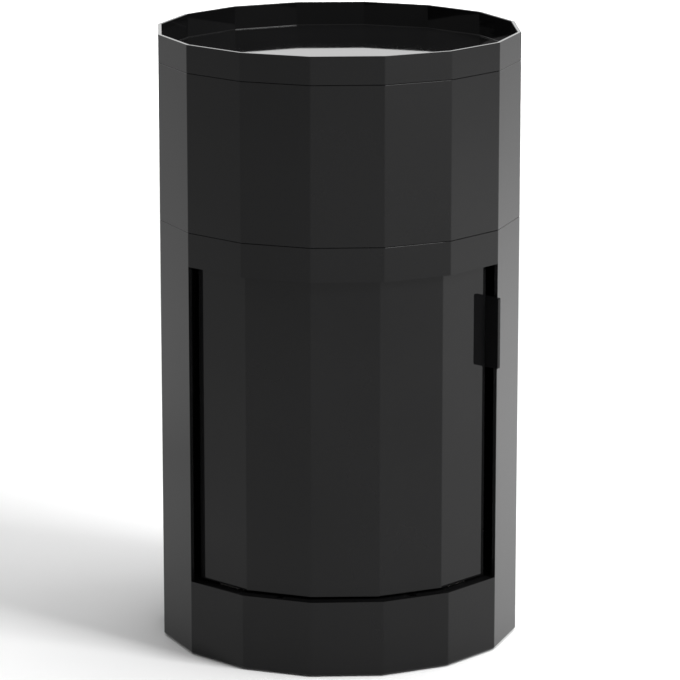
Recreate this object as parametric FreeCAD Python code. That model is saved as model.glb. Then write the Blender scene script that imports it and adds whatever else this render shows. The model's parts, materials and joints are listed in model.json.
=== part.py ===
import FreeCAD, Part
import math
import os

# Sixteen-sided drum cabinet with a turning door and a lift-off tray, in millimetres.
# The drum's axis is Z, the floor is Z = 0, and the middle of the opening faces -Y.
# An azimuth is in degrees from the front, positive towards +X.

# Drum, its width taken across the flats
SIDES = 16
ACROSS_FLATS = 360.0
WALL = 3.7
EDGE_ROUND = 3.5
BASE_ROUND = 3.0
RIM_ROUND = 0.6
SEAM_CHAMFER = 0.5
FLANGE_WIDTH = 16.0

# Levels, from the floor up
FOOT_STAND = 1.0
SILL_HEIGHT = 76.0
OPENING_HEIGHT = 322.5
LINTEL_HEIGHT = 34.0
UPPER_HEIGHT = 158.5
TRAY_HEIGHT = 28.0

# Opening and door. The closed door stands turned by DOOR_SET from the middle of the opening
OPENING_SIDES = 5
DOOR_WALL = 3.7
DOOR_EDGE_ROUND = 1.0
DOOR_CLEARANCE = 2.8
DOOR_END_GAP = 3.0
DOOR_FLOOR_GAP = 2.8
DOOR_TOP_LAP = 8.0
DOOR_TRAVEL = 100.0
DOOR_SET = -0.5

# Handle: an upright fin at the door's right end, and the leg behind the door that carries it
HANDLE_REACH = 16.0
HANDLE_HEIGHT = 72.0
HANDLE_THICK = 3.8
HANDLE_LEG = 4.0
HANDLE_LEG_LENGTH = 20.0
HANDLE_DROP = 33.0
HANDLE_CORNER = 1.5
HANDLE_EDGE_ROUND = 0.5
HANDLE_SCREW_SPREAD = 40.0

# Floor and divider panels, and the posts and lugs that carry them
PANEL_THICK = 4.0
PANEL_GAP = 0.3
POST_COUNT = 8
POST_RADIUS = 5.5
POST_SINK = 1.0
LUG_CLEARANCE = 4.5
RIB_COUNT = 8
RIB_THICK = 3.0
HUB_RADIUS = 30.0

# Ring tracks, and the shoes that run in them
TRACK_WIDTH = 8.0
TRACK_DEPTH = 7.0
TRACK_WALL = 3.0
CHANNEL_DEPTH = 9.0
TRACK_CLEARANCE = 0.4
RUN_GAP = 0.3
PAD_DEPTH = 6.0
SHOE_DEPTH = 13.0
SHOE_WIDTH = 26.0
SHOE_HEIGHT = 16.0
SHOE_LEG = 4.0
SHOE_SOLE = 5.0
SHOE_FLOOR_GAP = 1.0
TONGUE_LENGTH = 24.0
TONGUE_TOP_GAP = 2.0
STOP_LENGTH = 16.0
STOP_HEIGHT = 5.5

# Tray
TRAY_FLOOR = 3.7
TRAY_CORNER_ROUND = 1.5
TRAY_FLOOR_ROUND = 1.2
TRAY_CLEARANCE = 0.8
SPIGOT_WALL = 3.0
SPIGOT_HEIGHT = 10.0

# Feet
FOOT_COUNT = 4
FOOT_RADIUS = 6.5
FOOT_SEAT = 1.5
FOOT_EDGE = 0.6
FOOT_STEM_RADIUS = 2.5
FOOT_BARB_RADIUS = 3.6
FOOT_BARB_HEIGHT = 4.0

# Screws: the panel size for the drums, the small size for the door's fittings
PANEL_SCREW_RADIUS = 2.0
PANEL_SCREW_LENGTH = 14.0
PANEL_HEAD_RADIUS = 3.7
PANEL_HEAD_HEIGHT = 2.4
SMALL_SCREW_RADIUS = 1.5
SMALL_SCREW_LENGTH = 9.0
STOP_SCREW_LENGTH = 7.0
SMALL_HEAD_RADIUS = 2.8
SMALL_HEAD_HEIGHT = 1.9
HEAD_ROUND = 0.9
HEAD_RECESS = 0.8
HEAD_SLOT = 0.9
SCREW_FIT = 0.1
SCREW_SPREAD = 14.0
TIP_ROOM = 1.0

# Worked out from the sizes above
STEP = 360.0 / SIDES
HALF_STEP = math.radians(STEP / 2)
APOTHEM = ACROSS_FLATS / 2
INSIDE = APOTHEM - WALL
DRUM_BOTTOM = FOOT_STAND
OPENING_BOTTOM = DRUM_BOTTOM + SILL_HEIGHT
OPENING_TOP = OPENING_BOTTOM + OPENING_HEIGHT
LOWER_TOP = OPENING_TOP + LINTEL_HEIGHT
UPPER_TOP = LOWER_TOP + UPPER_HEIGHT
RIM = UPPER_TOP + TRAY_HEIGHT
OPENING_ANGLE = OPENING_SIDES * STEP

FLOOR_TOP = OPENING_BOTTOM
FLOOR_UNDER = FLOOR_TOP - PANEL_THICK
DIVIDER_UNDER = LOWER_TOP - PANEL_THICK
POST_PLACE = INSIDE - POST_RADIUS + POST_SINK
POST_AZIMUTHS = [STEP * (1 + k * SIDES / POST_COUNT) for k in range(POST_COUNT)]

DOOR_CORNER = INSIDE - DOOR_CLEARANCE
DOOR_FACE = DOOR_CORNER * math.cos(HALF_STEP)
DOOR_BACK = DOOR_FACE - DOOR_WALL
DOOR_BOTTOM = FLOOR_TOP + DOOR_FLOOR_GAP
DOOR_TOP = OPENING_TOP + DOOR_TOP_LAP
END_FACET = STEP * (OPENING_SIDES - 1) / 2
DOOR_END = DOOR_FACE * math.tan(HALF_STEP) - DOOR_END_GAP

PAD_FACE = DOOR_BACK - PAD_DEPTH
TRACK_RADIUS = PAD_FACE - SHOE_DEPTH / 2
TRACK_INNER = TRACK_RADIUS - TRACK_WIDTH / 2
TRACK_OUTER = TRACK_RADIUS + TRACK_WIDTH / 2
TRACK_BED = FLOOR_TOP - TRACK_DEPTH
TROUGH_UNDER = TRACK_BED - TRACK_WALL
TONGUE_ANGLE = math.degrees(TONGUE_LENGTH / TRACK_RADIUS)
STOP_ANGLE = math.degrees(STOP_LENGTH / TRACK_RADIUS)
STOP_GAP_ANGLE = math.degrees(RUN_GAP / TRACK_RADIUS)
STOP_AWAY = END_FACET + TONGUE_ANGLE / 2 + STOP_GAP_ANGLE
CLOSED_STOP = DOOR_SET + STOP_AWAY
OPEN_STOP = DOOR_SET - STOP_AWAY - DOOR_TRAVEL - STOP_ANGLE

HANDLE_TOP = OPENING_TOP - HANDLE_DROP
HANDLE_BOTTOM = HANDLE_TOP - HANDLE_HEIGHT
HANDLE_LEFT = DOOR_END - HANDLE_LEG_LENGTH
HANDLE_SCREW_PLACE = (HANDLE_LEFT + DOOR_END) / 2

FOOT_PLACE = INSIDE - FLANGE_WIDTH / 2
FOOT_AZIMUTHS = [360.0 / FOOT_COUNT * (k + 0.5) for k in range(FOOT_COUNT)]

ORIGIN = FreeCAD.Vector(0, 0, 0)
X_AXIS = FreeCAD.Vector(1, 0, 0)
Z_AXIS = FreeCAD.Vector(0, 0, 1)
NEAR = 1e-4


# Shapes that many pieces use

def place(radius, azimuth, z=0.0):
    """The point at a distance from the axis, in a direction and at a height."""
    turn = math.radians(azimuth)
    return FreeCAD.Vector(radius * math.sin(turn), -radius * math.cos(turn), z)


def turned(shape, azimuth):
    """A shape made at the front, turned about the axis to an azimuth."""
    return shape.rotated(ORIGIN, Z_AXIS, azimuth)


def round_every(shape, azimuths):
    """Copies of a shape made at the front, one at each azimuth."""
    return [turned(shape, azimuth) for azimuth in azimuths]


def joined(first, others):
    """One solid from a solid and others that run into it."""
    return first.fuse(others).removeSplitter()


def prism(apothem, bottom, top, corner=0.0):
    """A solid with the drum's number of sides, its upright corners rounded where a radius is given."""
    edges = []
    reach = (apothem - corner) / math.cos(HALF_STEP)
    points = []
    for k in range(SIDES):
        centre = place(reach, (k + 0.5) * STEP, bottom)
        points.append([centre + place(corner, (k + part) * STEP) for part in (0, 0.5, 1)])
    for k in range(SIDES):
        start, middle, end = points[k]
        if corner > 0:
            edges.append(Part.Arc(start, middle, end).toShape())
        edges.append(Part.makeLine(end, points[(k + 1) % SIDES][0]))
    return Part.Face(Part.Wire(edges)).extrude(FreeCAD.Vector(0, 0, top - bottom))


def wedge(angle, bottom, top):
    """A sector of a disc wider than the drum, centred on the front."""
    sector = Part.makeCylinder(ACROSS_FLATS, top - bottom, FreeCAD.Vector(0, 0, bottom), Z_AXIS, angle)
    return turned(sector, -90 - angle / 2)


def ring(inner, outer, bottom, top):
    """A round ring about the axis."""
    base = FreeCAD.Vector(0, 0, bottom)
    return Part.makeCylinder(outer, top - bottom, base).cut(Part.makeCylinder(inner, top - bottom, base))


def arc_bar(inner, outer, start, angle, bottom, top):
    """A stretch of a round ring, from one azimuth through an angle."""
    return ring(inner, outer, bottom, top).common(turned(wedge(angle, bottom, top), start + angle / 2))


def block(left, right, near, far, bottom, top):
    """A box on the front facet: across it, outwards from the axis, and up."""
    corner = FreeCAD.Vector(left, -far, bottom)
    return Part.makeBox(right - left, far - near, top - bottom, corner)


def edges_at(shape, z, apothem):
    """The edges at one height that lie at least an apothem from the axis."""
    found = []
    for edge in shape.Edges:
        level = abs(edge.BoundBox.ZMin - z) < NEAR and abs(edge.BoundBox.ZMax - z) < NEAR
        middle = edge.CenterOfMass
        if level and math.hypot(middle.x, middle.y) > apothem - NEAR:
            found.append(edge)
    return found


def screw(radius, length, head_radius, head_height):
    """A pan-head screw that points down, with its seat at the origin and a cross recess."""
    shank = Part.makeCylinder(radius, length, FreeCAD.Vector(0, 0, -length))
    head = Part.makeCylinder(head_radius, head_height)
    head = head.makeFillet(HEAD_ROUND, edges_at(head, head_height, 0.0))
    slot = Part.makeBox(head_radius, HEAD_SLOT, HEAD_RECESS)
    slot.translate(FreeCAD.Vector(-head_radius / 2, -HEAD_SLOT / 2, head_height - HEAD_RECESS))
    return head.fuse(shank).cut([slot, turned(slot, 90)])


def hole(radius, depth, at):
    """An upright round hole below a point."""
    return Part.makeCylinder(radius, depth, at - FreeCAD.Vector(0, 0, depth))


def panel_screw():
    return screw(PANEL_SCREW_RADIUS, PANEL_SCREW_LENGTH, PANEL_HEAD_RADIUS, PANEL_HEAD_HEIGHT)


def small_screw(length):
    return screw(SMALL_SCREW_RADIUS, length, SMALL_HEAD_RADIUS, SMALL_HEAD_HEIGHT)


def outward(shape, across, distance, z):
    """A screw turned to point away from the axis at the front, with its seat at the distance."""
    laid = shape.rotated(ORIGIN, X_AXIS, -90)
    return laid.translated(FreeCAD.Vector(across, -distance, z))


def outward_hole(radius, across, near, far, z):
    """A round hole on the front facet that runs away from the axis."""
    start = FreeCAD.Vector(across, -near, z)
    return Part.makeCylinder(radius, far - near, start, FreeCAD.Vector(0, -1, 0))


# Drums

def drum_wall(bottom, top):
    """A drum's plain wall."""
    return prism(APOTHEM, bottom, top, EDGE_ROUND).cut(prism(INSIDE, bottom, top))


def flange(bottom):
    """The ledge round the inside of a drum's lower edge."""
    outer = prism(INSIDE, bottom, bottom + WALL)
    return outer.cut(prism(INSIDE - FLANGE_WIDTH, bottom, bottom + WALL))


def lower_drum():
    """The wall with its opening, the base flange, the floor's posts and the divider's lugs."""
    shell = drum_wall(DRUM_BOTTOM, LOWER_TOP)
    shell = shell.makeFillet(BASE_ROUND, edges_at(shell, DRUM_BOTTOM, APOTHEM))
    shell = shell.makeChamfer(SEAM_CHAMFER, edges_at(shell, LOWER_TOP, APOTHEM))
    shell = shell.cut(wedge(OPENING_ANGLE, OPENING_BOTTOM, OPENING_TOP))
    post_at = place(POST_PLACE, 0, DRUM_BOTTOM)
    post = Part.makeCylinder(POST_RADIUS, FLOOR_UNDER - DRUM_BOTTOM, post_at)
    lug_under = DOOR_TOP + LUG_CLEARANCE
    lug_at = place(POST_PLACE, 0, lug_under)
    taper = POST_RADIUS - POST_SINK
    lug = Part.makeCone(POST_SINK, POST_RADIUS, taper, lug_at)
    lug_top = place(POST_PLACE, 0, lug_under + taper)
    lug = lug.fuse(Part.makeCylinder(POST_RADIUS, DIVIDER_UNDER - lug_under - taper, lug_top))
    backing = prism(INSIDE + WALL / 2, DRUM_BOTTOM, LOWER_TOP)
    carriers = [part.common(backing) for part in (post, lug)]
    added = [flange(DRUM_BOTTOM)]
    for carrier in carriers:
        added += round_every(carrier, POST_AZIMUTHS)
    shell = joined(shell, added)
    tapped = []
    for top in (FLOOR_UNDER, DIVIDER_UNDER):
        pilot = hole(PANEL_SCREW_RADIUS + SCREW_FIT, PANEL_SCREW_LENGTH, place(POST_PLACE, 0, top))
        tapped += round_every(pilot, POST_AZIMUTHS)
    seat = Part.makeCylinder(FOOT_RADIUS + SCREW_FIT, FOOT_SEAT, place(FOOT_PLACE, 0, DRUM_BOTTOM))
    stem = Part.makeCylinder(FOOT_STEM_RADIUS + SCREW_FIT, WALL, place(FOOT_PLACE, 0, DRUM_BOTTOM))
    return shell.cut(tapped + round_every(seat.fuse(stem), FOOT_AZIMUTHS))


def upper_drum():
    """The plain wall of the upper bin, with the flange that is screwed to the lower drum."""
    shell = drum_wall(LOWER_TOP, UPPER_TOP)
    ends = edges_at(shell, LOWER_TOP, APOTHEM) + edges_at(shell, UPPER_TOP, APOTHEM)
    shell = joined(shell.makeChamfer(SEAM_CHAMFER, ends), [flange(LOWER_TOP)])
    through = hole(PANEL_SCREW_RADIUS + SCREW_FIT, WALL, place(POST_PLACE, 0, LOWER_TOP + WALL))
    return shell.cut(round_every(through, POST_AZIMUTHS))


def tray():
    """The shallow dish on top, with the spigot that keeps it on the upper drum."""
    dish = prism(APOTHEM, UPPER_TOP, RIM, EDGE_ROUND)
    dish = dish.makeChamfer(SEAM_CHAMFER, edges_at(dish, UPPER_TOP, 0.0))
    hollow = prism(INSIDE, UPPER_TOP + TRAY_FLOOR, RIM, TRAY_CORNER_ROUND)
    hollow = hollow.makeFillet(TRAY_FLOOR_ROUND, edges_at(hollow, UPPER_TOP + TRAY_FLOOR, 0.0))
    dish = dish.cut(hollow)
    dish = dish.makeFillet(RIM_ROUND, edges_at(dish, RIM, 0.0))
    spigot_bottom = UPPER_TOP - SPIGOT_HEIGHT
    spigot_face = INSIDE - TRAY_CLEARANCE
    spigot = prism(spigot_face, spigot_bottom, UPPER_TOP, EDGE_ROUND)
    spigot = spigot.cut(prism(spigot_face - SPIGOT_WALL, spigot_bottom, UPPER_TOP))
    return joined(dish, [spigot])


# Panels

def floor_panel():
    """The lower compartment's floor, with the door's track sunk into it and ribs below."""
    panel = prism(INSIDE - PANEL_GAP, FLOOR_UNDER, FLOOR_TOP)
    trough = ring(TRACK_INNER - TRACK_WALL, TRACK_OUTER + TRACK_WALL, TROUGH_UNDER, FLOOR_UNDER)
    hub = ring(HUB_RADIUS - RIB_THICK, HUB_RADIUS, TROUGH_UNDER, FLOOR_UNDER)
    half = RIB_THICK / 2
    rib = block(-half, half, HUB_RADIUS - half, TRACK_INNER - TRACK_WALL / 2, TROUGH_UNDER, FLOOR_UNDER)
    ribs = round_every(rib, [360.0 / RIB_COUNT * k for k in range(RIB_COUNT)])
    panel = joined(panel, [trough, hub] + ribs)
    groove = ring(TRACK_INNER, TRACK_OUTER, TRACK_BED, FLOOR_TOP)
    head = hole(PANEL_HEAD_RADIUS + SCREW_FIT, PANEL_HEAD_HEIGHT, place(POST_PLACE, 0, FLOOR_TOP))
    shank = hole(PANEL_SCREW_RADIUS + SCREW_FIT, PANEL_THICK, place(POST_PLACE, 0, FLOOR_TOP))
    stop_hole = hole(SMALL_SCREW_RADIUS + SCREW_FIT, TRACK_WALL, place(TRACK_RADIUS, 0, TRACK_BED))
    stop_holes = [turned(stop_hole, start + STOP_ANGLE / 2) for start in (CLOSED_STOP, OPEN_STOP)]
    return panel.cut([groove] + round_every(head.fuse(shank), POST_AZIMUTHS) + stop_holes)


def divider_panel():
    """The lower compartment's ceiling, with the two hanging rings that make the upper track."""
    panel = prism(INSIDE - PANEL_GAP, DIVIDER_UNDER, LOWER_TOP)
    channel_under = DIVIDER_UNDER - CHANNEL_DEPTH
    inner_ring = ring(TRACK_INNER - TRACK_WALL, TRACK_INNER, channel_under, DIVIDER_UNDER)
    outer_ring = ring(TRACK_OUTER, TRACK_OUTER + TRACK_WALL, channel_under, DIVIDER_UNDER)
    panel = joined(panel, [inner_ring, outer_ring])
    shank = hole(PANEL_SCREW_RADIUS + SCREW_FIT, PANEL_THICK, place(POST_PLACE, 0, LOWER_TOP))
    return panel.cut(round_every(shank, POST_AZIMUTHS))


def floor_screws():
    seat = place(POST_PLACE, 0, FLOOR_TOP - PANEL_HEAD_HEIGHT)
    return Part.makeCompound(round_every(panel_screw().translated(seat), POST_AZIMUTHS))


def drum_screws():
    seat = place(POST_PLACE, 0, LOWER_TOP + WALL)
    return Part.makeCompound(round_every(panel_screw().translated(seat), POST_AZIMUTHS))


# Door

def shoe_screw_places(low):
    """Where the two screws of a shoe go, across the facet and up, for the low or the high shoes."""
    side = SCREW_SPREAD / 2
    rise = (SHOE_SOLE + SHOE_HEIGHT) / 2
    z = DOOR_BOTTOM + rise if low else DOOR_TOP - rise
    return [(-side, z), (side, z)]


def door_panel():
    """The faceted door, with a pad inside for each shoe and for the handle's leg."""
    panel = prism(DOOR_FACE, DOOR_BOTTOM, DOOR_TOP, EDGE_ROUND)
    panel = panel.cut(prism(DOOR_BACK, DOOR_BOTTOM, DOOR_TOP))
    panel = panel.common(wedge(OPENING_ANGLE, DOOR_BOTTOM, DOOR_TOP))
    waste = block(DOOR_END, DOOR_FACE, 0, DOOR_FACE * 2, DOOR_BOTTOM, DOOR_TOP)
    panel = panel.cut([turned(waste, END_FACET), turned(waste.mirror(ORIGIN, X_AXIS), -END_FACET)])
    ends = []
    for edge in panel.Edges:
        upright = edge.BoundBox.ZLength > DOOR_TOP - DOOR_BOTTOM - NEAR
        across = [turned(edge, azimuth).CenterOfMass.x for azimuth in (END_FACET, -END_FACET)]
        if upright and (abs(across[0] + DOOR_END) < NEAR or abs(across[1] - DOOR_END) < NEAR):
            ends.append(edge)
    panel = panel.makeFillet(DOOR_EDGE_ROUND, ends)
    half = SHOE_WIDTH / 2
    back = DOOR_BACK + DOOR_WALL / 2
    pads = [block(-half, half, PAD_FACE, back, DOOR_BOTTOM, DOOR_BOTTOM + SHOE_HEIGHT),
            block(-half, half, PAD_FACE, back, DOOR_TOP - SHOE_HEIGHT, DOOR_TOP)]
    both = (-END_FACET, END_FACET)
    added = [turned(pad, azimuth) for pad in pads for azimuth in both]
    handle_pad = block(HANDLE_LEFT, DOOR_END, PAD_FACE, back, HANDLE_BOTTOM, HANDLE_TOP)
    panel = joined(panel, added + [turned(handle_pad, END_FACET)])
    cuts = []
    tip = PAD_FACE - SHOE_LEG + SMALL_SCREW_LENGTH + TIP_ROOM
    for low in (True, False):
        for across, z in shoe_screw_places(low):
            cut = outward_hole(SMALL_SCREW_RADIUS + SCREW_FIT, across, PAD_FACE, tip, z)
            cuts += [turned(cut, azimuth) for azimuth in both]
    handle_tip = PAD_FACE - HANDLE_LEG + SMALL_SCREW_LENGTH + TIP_ROOM
    for z in handle_screw_heights():
        cut = outward_hole(SMALL_SCREW_RADIUS + SCREW_FIT, HANDLE_SCREW_PLACE, PAD_FACE, handle_tip, z)
        cuts.append(turned(cut, END_FACET))
    return panel.cut(cuts)


def handle_screw_heights():
    middle = (HANDLE_BOTTOM + HANDLE_TOP) / 2
    return [middle - HANDLE_SCREW_SPREAD / 2, middle + HANDLE_SCREW_SPREAD / 2]


def door_handle():
    """The fin, square to the door's end facet, and its leg on the pad behind the door."""
    near = PAD_FACE - HANDLE_LEG
    tip = DOOR_FACE + HANDLE_REACH
    right = DOOR_END + HANDLE_THICK
    fin = block(DOOR_END, right, near, tip, HANDLE_BOTTOM, HANDLE_TOP)
    corners = [edge for edge in fin.Edges
               if edge.BoundBox.YMax < NEAR - tip and edge.BoundBox.XLength > NEAR]
    fin = fin.makeFillet(HANDLE_CORNER, corners)
    outline = [edge for edge in fin.Edges
               if edge.BoundBox.YMin < -DOOR_FACE - NEAR and edge.BoundBox.XLength < NEAR]
    fin = fin.makeFillet(HANDLE_EDGE_ROUND, outline)
    leg = block(HANDLE_LEFT, DOOR_END + HANDLE_THICK / 2, near, PAD_FACE, HANDLE_BOTTOM, HANDLE_TOP)
    handle = joined(fin, [leg])
    for z in handle_screw_heights():
        through = outward_hole(SMALL_SCREW_RADIUS + SCREW_FIT, HANDLE_SCREW_PLACE, near, PAD_FACE, z)
        handle = handle.cut(through)
    return turned(handle, END_FACET)


def handle_screws():
    screws = [outward(small_screw(SMALL_SCREW_LENGTH), HANDLE_SCREW_PLACE, PAD_FACE - HANDLE_LEG, z)
              for z in handle_screw_heights()]
    return Part.makeCompound([turned(one, END_FACET) for one in screws])


def shoe(low):
    """A bracket on the door's pad, with a curved tongue that runs in the lower or the upper track."""
    half = SHOE_WIDTH / 2
    inner = PAD_FACE - SHOE_DEPTH
    tongue_inner = TRACK_INNER + TRACK_CLEARANCE
    tongue_outer = TRACK_OUTER - TRACK_CLEARANCE
    if low:
        sole_bottom = FLOOR_TOP + SHOE_FLOOR_GAP
        sole_top = sole_bottom + SHOE_SOLE
        leg_ends = (sole_bottom, DOOR_BOTTOM + SHOE_HEIGHT)
        tongue_ends = (TRACK_BED + RUN_GAP, sole_top)
    else:
        sole_top = DOOR_TOP
        sole_bottom = sole_top - SHOE_SOLE
        leg_ends = (DOOR_TOP - SHOE_HEIGHT, sole_top)
        tongue_ends = (sole_bottom, DIVIDER_UNDER - TONGUE_TOP_GAP)
    leg = block(-half, half, PAD_FACE - SHOE_LEG, PAD_FACE, *leg_ends)
    sole = block(-half, half, inner, PAD_FACE, sole_bottom, sole_top)
    tongue = arc_bar(tongue_inner, tongue_outer, -TONGUE_ANGLE / 2, TONGUE_ANGLE, *tongue_ends)
    bracket = joined(leg, [sole, tongue])
    for across, z in shoe_screw_places(low):
        through = outward_hole(SMALL_SCREW_RADIUS + SCREW_FIT, across, PAD_FACE - SHOE_LEG, PAD_FACE, z)
        bracket = bracket.cut(through)
    return bracket


def shoe_screws(low):
    screws = []
    for across, z in shoe_screw_places(low):
        one = outward(small_screw(SMALL_SCREW_LENGTH), across, PAD_FACE - SHOE_LEG, z)
        screws += [turned(one, azimuth) for azimuth in (-END_FACET, END_FACET)]
    return Part.makeCompound(screws)


# Stops and feet

def stop(start):
    """A buffer that fills the lower track beyond one end of the door's travel."""
    inner = TRACK_INNER + TRACK_CLEARANCE
    outer = TRACK_OUTER - TRACK_CLEARANCE
    bar = arc_bar(inner, outer, start, STOP_ANGLE, TRACK_BED, TRACK_BED + STOP_HEIGHT)
    depth = STOP_SCREW_LENGTH - TRACK_WALL
    top = place(TRACK_RADIUS, start + STOP_ANGLE / 2, TRACK_BED + depth)
    return bar.cut(hole(SMALL_SCREW_RADIUS + SCREW_FIT, depth, top))


def stop_screws():
    up = small_screw(STOP_SCREW_LENGTH).rotated(ORIGIN, X_AXIS, 180)
    up.translate(place(TRACK_RADIUS, 0, TROUGH_UNDER))
    return Part.makeCompound([turned(up, start + STOP_ANGLE / 2) for start in (CLOSED_STOP, OPEN_STOP)])


def foot():
    """A push-in foot: a pad in its seat under the flange, a stem through it and a barb above it."""
    pad_top = DRUM_BOTTOM + FOOT_SEAT
    barb_bottom = DRUM_BOTTOM + WALL
    barb_top = barb_bottom + FOOT_BARB_HEIGHT
    profile = [(0, 0), (FOOT_RADIUS - FOOT_EDGE, 0), (FOOT_RADIUS, FOOT_EDGE), (FOOT_RADIUS, pad_top),
               (FOOT_STEM_RADIUS, pad_top), (FOOT_STEM_RADIUS, barb_bottom), (FOOT_BARB_RADIUS, barb_bottom),
               (FOOT_STEM_RADIUS, barb_top), (0, barb_top), (0, 0)]
    outline = Part.makePolygon([FreeCAD.Vector(radius, 0, z) for radius, z in profile])
    turned_solid = Part.Face(outline).revolve(ORIGIN, Z_AXIS, 360)
    return turned_solid.translated(place(FOOT_PLACE, 0))


def named_pieces():
    """Every piece of the cabinet by its name."""
    pieces = {
        "lower_drum": lower_drum(),
        "upper_drum": upper_drum(),
        "tray": tray(),
        "floor_panel": floor_panel(),
        "divider_panel": divider_panel(),
        "floor_screws": floor_screws(),
        "drum_screws": drum_screws(),
        "stop_closed": stop(CLOSED_STOP),
        "stop_open": stop(OPEN_STOP),
        "stop_screws": stop_screws(),
    }
    on_the_door = {
        "door_panel": door_panel(),
        "door_handle": door_handle(),
        "handle_screws": handle_screws(),
        "glide_left": turned(shoe(True), -END_FACET),
        "glide_right": turned(shoe(True), END_FACET),
        "glide_screws": shoe_screws(True),
        "guide_left": turned(shoe(False), -END_FACET),
        "guide_right": turned(shoe(False), END_FACET),
        "guide_screws": shoe_screws(False),
    }
    for name, shape in on_the_door.items():
        pieces[name] = turned(shape, DOOR_SET)
    corners = ("front_right", "rear_right", "rear_left", "front_left")
    for corner, azimuth in zip(corners, FOOT_AZIMUTHS):
        pieces["foot_" + corner] = turned(foot(), azimuth)
    return pieces


os.makedirs("parts", exist_ok=True)
for name, shape in named_pieces().items():
    shape.exportStep("parts/" + name + ".step")
    print(name, len(shape.Solids), shape.isValid(), round(shape.Volume))
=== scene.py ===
import json
import math

import bpy
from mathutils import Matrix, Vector

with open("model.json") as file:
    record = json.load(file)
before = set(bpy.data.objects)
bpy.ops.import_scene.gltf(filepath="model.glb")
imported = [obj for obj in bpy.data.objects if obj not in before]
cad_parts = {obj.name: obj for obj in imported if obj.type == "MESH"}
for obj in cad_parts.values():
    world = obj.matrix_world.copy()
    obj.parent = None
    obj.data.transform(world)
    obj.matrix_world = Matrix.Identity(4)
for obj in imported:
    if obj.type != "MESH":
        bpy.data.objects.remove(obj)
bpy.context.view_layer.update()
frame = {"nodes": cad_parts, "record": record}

# Sixteen-sided drum cabinet in black gloss plastic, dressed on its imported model.
# Metres, in the model's own frame: Z up, the middle of the door towards -Y.

# The photograph's camera, with its angles in degrees and its lens and sensor in millimetres
CAMERA_TARGET = (0.0, 0.0, 0.3155)
CAMERA_DISTANCE = 3.8888
CAMERA_AZIMUTH = -2.757
CAMERA_ELEVATION = 13.154
CAMERA_LENS = 202.7
CAMERA_SENSOR = 36.0
CAMERA_SHIFT = (0.0023, -0.0221)
CAMERA_REACH = 100.0

# The floor
FLOOR_RADIUS = 30.0
FLOOR_SIDES = 96
FLOOR_COLOUR = (0.92, 0.92, 0.92)
FLOOR_ROUGHNESS = 0.9
FLOOR_SPECULAR = 0.0

# The sky: its strength in front and behind, and the part of the way along +Y where it changes
SKY_COLOUR = (1.0, 1.0, 1.0, 1.0)
SKY_FRONT = 0.56
SKY_BACK = 1.5
SKY_CHANGE_START = 0.5
SKY_CHANGE_END = 0.9

# The lights, with their beams in degrees and their powers in watts
LIGHTS = {
    "key_light": {
        "place": (4.4, -3.0, 4.2),
        "aim": (0.0, 0.0, 0.1),
        "size": (2.2, 2.2),
        "beam": 180.0,
        "power": 344.0,
        "mirrored": False,
    },
    "right_light": {
        "place": (1.5, 0.48, 2.2),
        "aim": (1.42, 0.48, 0.0),
        "size": (1.4, 2.8),
        "beam": 80.0,
        "power": 9.6,
        "mirrored": False,
    },
    "back_light": {
        "place": (0.2, 4.0, 2.6),
        "aim": (0.2, 4.0, 0.0),
        "size": (2.5, 2.5),
        "beam": 70.0,
        "power": 30.0,
        "mirrored": False,
    },
    "strip_light": {
        "place": (1.2, -0.13, 2.8),
        "aim": (0.09, -0.59, 0.3),
        "size": (1.3, 0.3),
        "beam": 180.0,
        "power": 13.0,
        "mirrored": True,
    },
}

# The part of a noise's range that its values mostly fill
NOISE_LOW = 0.3
NOISE_HIGH = 0.7

# Gloss plastic. Scales are in features per metre and depths in metres, here and below.
GLOSS_INDEX = 1.27
GLOSS_CLOUD_SCALE = 7.0
GLOSS_HAZE_SCALE = 11.0
GLOSS_SPECK_SCALE = 1400.0
GLOSS_SPECK_START = 0.74
GLOSS_SPECK_FULL = 0.80
GLOSS_SPECK_ROUGHNESS = 0.22
GLOSS_WAVE_SCALE = 16.0
GLOSS_WAVE_DEPTH = 2.5e-5
GLOSS_PEEL_SCALE = 420.0
GLOSS_PEEL_DEPTH = 3.0e-7

# Grained plastic
GRAINED_CLOUD_SCALE = 14.0
GRAINED_SHEEN_SCALE = 30.0

# Screw metal
SCREW_CLOUD_SCALE = 500.0
SCREW_SHEEN_SCALE = 900.0
SCREW_SMOOTH = 0.22
SCREW_ROUGH = 0.42
SCREW_MARK_SCALE = 2600.0
SCREW_MARK_DEPTH = 1.5e-5

# Rubber
RUBBER_DARK = (0.012, 0.012, 0.012)
RUBBER_LIGHT = (0.032, 0.032, 0.031)
RUBBER_BLOOM_SCALE = 160.0
RUBBER_SMOOTH = 0.68
RUBBER_ROUGH = 0.9
RUBBER_SPECULAR = 0.35
RUBBER_GRAIN_SCALE = 1500.0
RUBBER_GRAIN_DEPTH = 3.0e-5


# Node helpers

def add(tree, kind, **values):
    """A shader node. Names with a leading capital are sockets, the others are properties."""
    node = tree.nodes.new("ShaderNode" + kind)
    for name, value in values.items():
        if name[0].isupper():
            node.inputs[name.replace("_", " ")].default_value = value
        else:
            setattr(node, name, value)
    return node


def link(tree, start, end):
    tree.links.new(start, end)


def new_material(name):
    """A material and its Principled shader."""
    material = bpy.data.materials.new(name)
    material.use_nodes = True
    shader = material.node_tree.nodes["Principled BSDF"]
    return material, shader


def own_place(tree):
    """The coordinates of the piece that the material is on."""
    return add(tree, "TexCoord").outputs["Object"]


def noise(tree, place, scale, detail, rough=0.5):
    """A noise from 0 to 1 with features about 1 / scale metres wide."""
    node = add(tree, "TexNoise", Scale=scale, Detail=detail, Roughness=rough)
    link(tree, place, node.inputs["Vector"])
    return node.outputs["Fac"]


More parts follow.
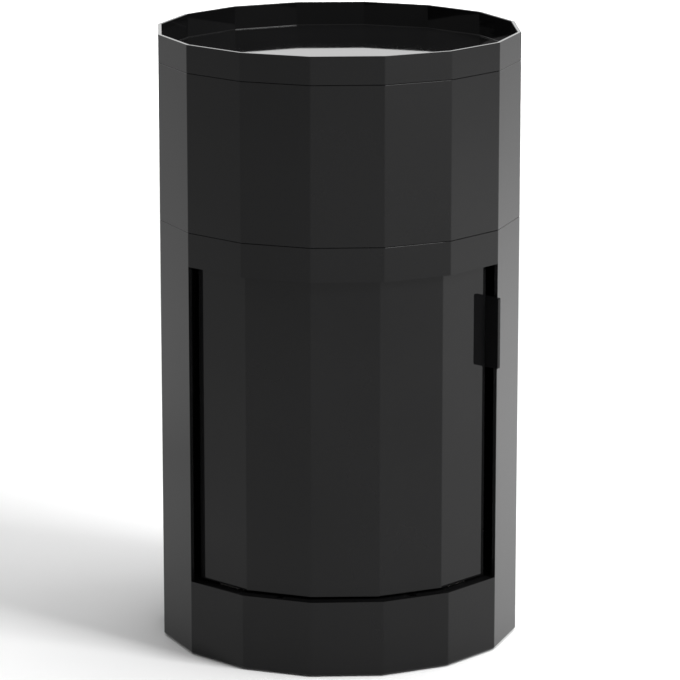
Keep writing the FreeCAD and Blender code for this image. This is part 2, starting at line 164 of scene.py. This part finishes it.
def spread(tree, value, low, high, start=NOISE_LOW, end=NOISE_HIGH):
    """A part of a value's range, spread out between two numbers."""
    node = add(tree, "MapRange", From_Min=start, From_Max=end, To_Min=low, To_Max=high)
    link(tree, value, node.inputs["Value"])
    return node.outputs["Result"]


def two_colours(tree, value, first, second):
    """A colour between two, by a noise."""
    node = add(tree, "ValToRGB")
    low_end, high_end = node.color_ramp.elements
    low_end.position = NOISE_LOW
    low_end.color = (*first, 1.0)
    high_end.position = NOISE_HIGH
    high_end.color = (*second, 1.0)
    link(tree, value, node.inputs["Fac"])
    return node.outputs["Color"]


def summed(tree, first, second):
    node = add(tree, "Math", operation="ADD")
    link(tree, first, node.inputs[0])
    link(tree, second, node.inputs[1])
    return node.outputs["Value"]


def relief(tree, shader, layers):
    """Chained bumps on a shader: each layer is a height from 0 to 1 and its depth in metres."""
    normal = None
    for height, depth in layers:
        bump = add(tree, "Bump", Strength=1.0, Distance=depth)
        link(tree, height, bump.inputs["Height"])
        if normal is not None:
            link(tree, normal, bump.inputs["Normal"])
        normal = bump.outputs["Normal"]
    link(tree, normal, shader.inputs["Normal"])


# Materials

def gloss_plastic(name, dark, light, smooth, hazy):
    """Polished black moulding: a slow waviness, a haze from handling and a fine dust of specks."""
    material, shader = new_material(name)
    tree = material.node_tree
    place = own_place(tree)
    cloud = noise(tree, place, GLOSS_CLOUD_SCALE, detail=4.0)
    link(tree, two_colours(tree, cloud, dark, light), shader.inputs["Base Color"])
    haze = spread(tree, noise(tree, place, GLOSS_HAZE_SCALE, detail=5.0, rough=0.6), smooth, hazy)
    dust = noise(tree, place, GLOSS_SPECK_SCALE, detail=1.0)
    specks = spread(tree, dust, 0.0, GLOSS_SPECK_ROUGHNESS, GLOSS_SPECK_START, GLOSS_SPECK_FULL)
    link(tree, summed(tree, haze, specks), shader.inputs["Roughness"])
    shader.inputs["IOR"].default_value = GLOSS_INDEX
    waves = noise(tree, place, GLOSS_WAVE_SCALE, detail=1.0)
    peel = noise(tree, place, GLOSS_PEEL_SCALE, detail=1.0)
    relief(tree, shader, [(waves, GLOSS_WAVE_DEPTH), (peel, GLOSS_PEEL_DEPTH)])
    return material


def grained_plastic(name, dark, light, smooth, rough, grain_scale, grain_depth):
    """Moulded plastic with an even eroded grain."""
    material, shader = new_material(name)
    tree = material.node_tree
    place = own_place(tree)
    cloud = noise(tree, place, GRAINED_CLOUD_SCALE, detail=4.0)
    link(tree, two_colours(tree, cloud, dark, light), shader.inputs["Base Color"])
    sheen = noise(tree, place, GRAINED_SHEEN_SCALE, detail=4.0)
    link(tree, spread(tree, sheen, smooth, rough), shader.inputs["Roughness"])
    grain = noise(tree, place, grain_scale, detail=3.0, rough=0.6)
    relief(tree, shader, [(grain, grain_depth)])
    return material


def screw_metal(name, dark, light):
    """Screw steel with a cloudy lustre and fine turning marks."""
    material, shader = new_material(name)
    tree = material.node_tree
    place = own_place(tree)
    cloud = noise(tree, place, SCREW_CLOUD_SCALE, detail=4.0)
    link(tree, two_colours(tree, cloud, dark, light), shader.inputs["Base Color"])
    sheen = noise(tree, place, SCREW_SHEEN_SCALE, detail=3.0)
    link(tree, spread(tree, sheen, SCREW_SMOOTH, SCREW_ROUGH), shader.inputs["Roughness"])
    shader.inputs["Metallic"].default_value = 1.0
    marks = noise(tree, place, SCREW_MARK_SCALE, detail=2.0)
    relief(tree, shader, [(marks, SCREW_MARK_DEPTH)])
    return material


def rubber(name):
    """Matt black rubber with a powdery bloom."""
    material, shader = new_material(name)
    tree = material.node_tree
    place = own_place(tree)
    bloom = noise(tree, place, RUBBER_BLOOM_SCALE, detail=5.0, rough=0.65)
    link(tree, two_colours(tree, bloom, RUBBER_DARK, RUBBER_LIGHT), shader.inputs["Base Color"])
    link(tree, spread(tree, bloom, RUBBER_SMOOTH, RUBBER_ROUGH), shader.inputs["Roughness"])
    shader.inputs["Specular IOR Level"].default_value = RUBBER_SPECULAR
    grain = noise(tree, place, RUBBER_GRAIN_SCALE, detail=3.0)
    relief(tree, shader, [(grain, RUBBER_GRAIN_DEPTH)])
    return material


def make_materials():
    """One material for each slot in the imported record, by the slot's name."""
    return {
        "gloss_black": gloss_plastic(
            "gloss_black",
            dark=(0.0038, 0.0038, 0.0040),
            light=(0.0052, 0.0052, 0.0054),
            smooth=0.02,
            hazy=0.045,
        ),
        "handle_black": gloss_plastic(
            "handle_black",
            dark=(0.0036, 0.0036, 0.0038),
            light=(0.0050, 0.0050, 0.0052),
            smooth=0.05,
            hazy=0.08,
        ),
        "panel_black": grained_plastic(
            "panel_black",
            dark=(0.010, 0.010, 0.011),
            light=(0.018, 0.018, 0.019),
            smooth=0.38,
            rough=0.52,
            grain_scale=900.0,
            grain_depth=6.0e-5,
        ),
        "shoe_plastic": grained_plastic(
            "shoe_plastic",
            dark=(0.58, 0.57, 0.53),
            light=(0.68, 0.67, 0.63),
            smooth=0.34,
            rough=0.46,
            grain_scale=1200.0,
            grain_depth=2.0e-5,
        ),
        "screw_steel": screw_metal("screw_steel", dark=(0.42, 0.42, 0.44), light=(0.62, 0.62, 0.63)),
        "screw_black": screw_metal("screw_black", dark=(0.012, 0.012, 0.013), light=(0.025, 0.025, 0.026)),
        "stop_rubber": rubber("stop_rubber"),
        "foot_rubber": rubber("foot_rubber"),
    }


def dress():
    """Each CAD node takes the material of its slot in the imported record."""
    materials = make_materials()
    for row in frame["record"]["subparts"]:
        node = frame["nodes"][row["node"]]
        node.data.materials.clear()
        node.data.materials.append(materials[row["material_slot"]])


# Studio

def make_floor():
    """A plain pale disc at the object's foot."""
    mesh = bpy.data.meshes.new("floor")
    turns = [2 * math.pi * k / FLOOR_SIDES for k in range(FLOOR_SIDES)]
    ring = [(FLOOR_RADIUS * math.cos(turn), FLOOR_RADIUS * math.sin(turn), 0.0) for turn in turns]
    mesh.from_pydata(ring, [], [list(range(FLOOR_SIDES))])
    floor = bpy.data.objects.new("floor", mesh)
    bpy.context.scene.collection.objects.link(floor)
    material, shader = new_material("floor_pale")
    shader.inputs["Base Color"].default_value = (*FLOOR_COLOUR, 1.0)
    shader.inputs["Roughness"].default_value = FLOOR_ROUGHNESS
    shader.inputs["Specular IOR Level"].default_value = FLOOR_SPECULAR
    mesh.materials.append(material)


def area_light(name, place, aim, size, beam, power, mirrored):
    """A soft rectangular light at a place, aimed at a point. Only a mirrored one shows in the gloss."""
    data = bpy.data.lights.new(name, "AREA")
    data.shape = "RECTANGLE"
    data.size, data.size_y = size
    data.spread = math.radians(beam)
    data.energy = power
    light = bpy.data.objects.new(name, data)
    light.location = place
    light.rotation_mode = "QUATERNION"
    light.rotation_quaternion = (Vector(aim) - Vector(place)).to_track_quat("-Z", "Y")
    light.visible_camera = False
    light.visible_glossy = mirrored
    bpy.context.scene.collection.objects.link(light)


def make_sky():
    """A white sky that is brighter behind the object than in front of it."""
    world = bpy.data.worlds.new("studio")
    world.use_nodes = True
    tree = world.node_tree
    back = tree.nodes["Background"]
    direction = add(tree, "TexCoord").outputs["Generated"]
    along = add(tree, "SeparateXYZ")
    link(tree, direction, along.inputs["Vector"])
    level = spread(tree, along.outputs["Y"], SKY_FRONT, SKY_BACK, SKY_CHANGE_START, SKY_CHANGE_END)
    back.inputs["Color"].default_value = SKY_COLOUR
    link(tree, level, back.inputs["Strength"])
    bpy.context.scene.world = world


def make_camera():
    """The photograph's camera."""
    data = bpy.data.cameras.new("camera")
    data.lens = CAMERA_LENS
    data.sensor_width = CAMERA_SENSOR
    data.shift_x, data.shift_y = CAMERA_SHIFT
    data.clip_end = CAMERA_REACH
    camera = bpy.data.objects.new("camera", data)
    turn = math.radians(CAMERA_AZIMUTH)
    rise = math.radians(CAMERA_ELEVATION)
    out = Vector((math.sin(turn) * math.cos(rise), -math.cos(turn) * math.cos(rise), math.sin(rise)))
    camera.location = Vector(CAMERA_TARGET) + out * CAMERA_DISTANCE
    camera.rotation_mode = "QUATERNION"
    camera.rotation_quaternion = (-out).to_track_quat("-Z", "Y")
    bpy.context.scene.collection.objects.link(camera)
    bpy.context.scene.camera = camera


dress()
make_floor()
make_sky()
for light_name, light_values in LIGHTS.items():
    area_light(light_name, **light_values)
make_camera()

view = bpy.context.scene.view_settings
view.view_transform = "Standard"
view.look = "None"
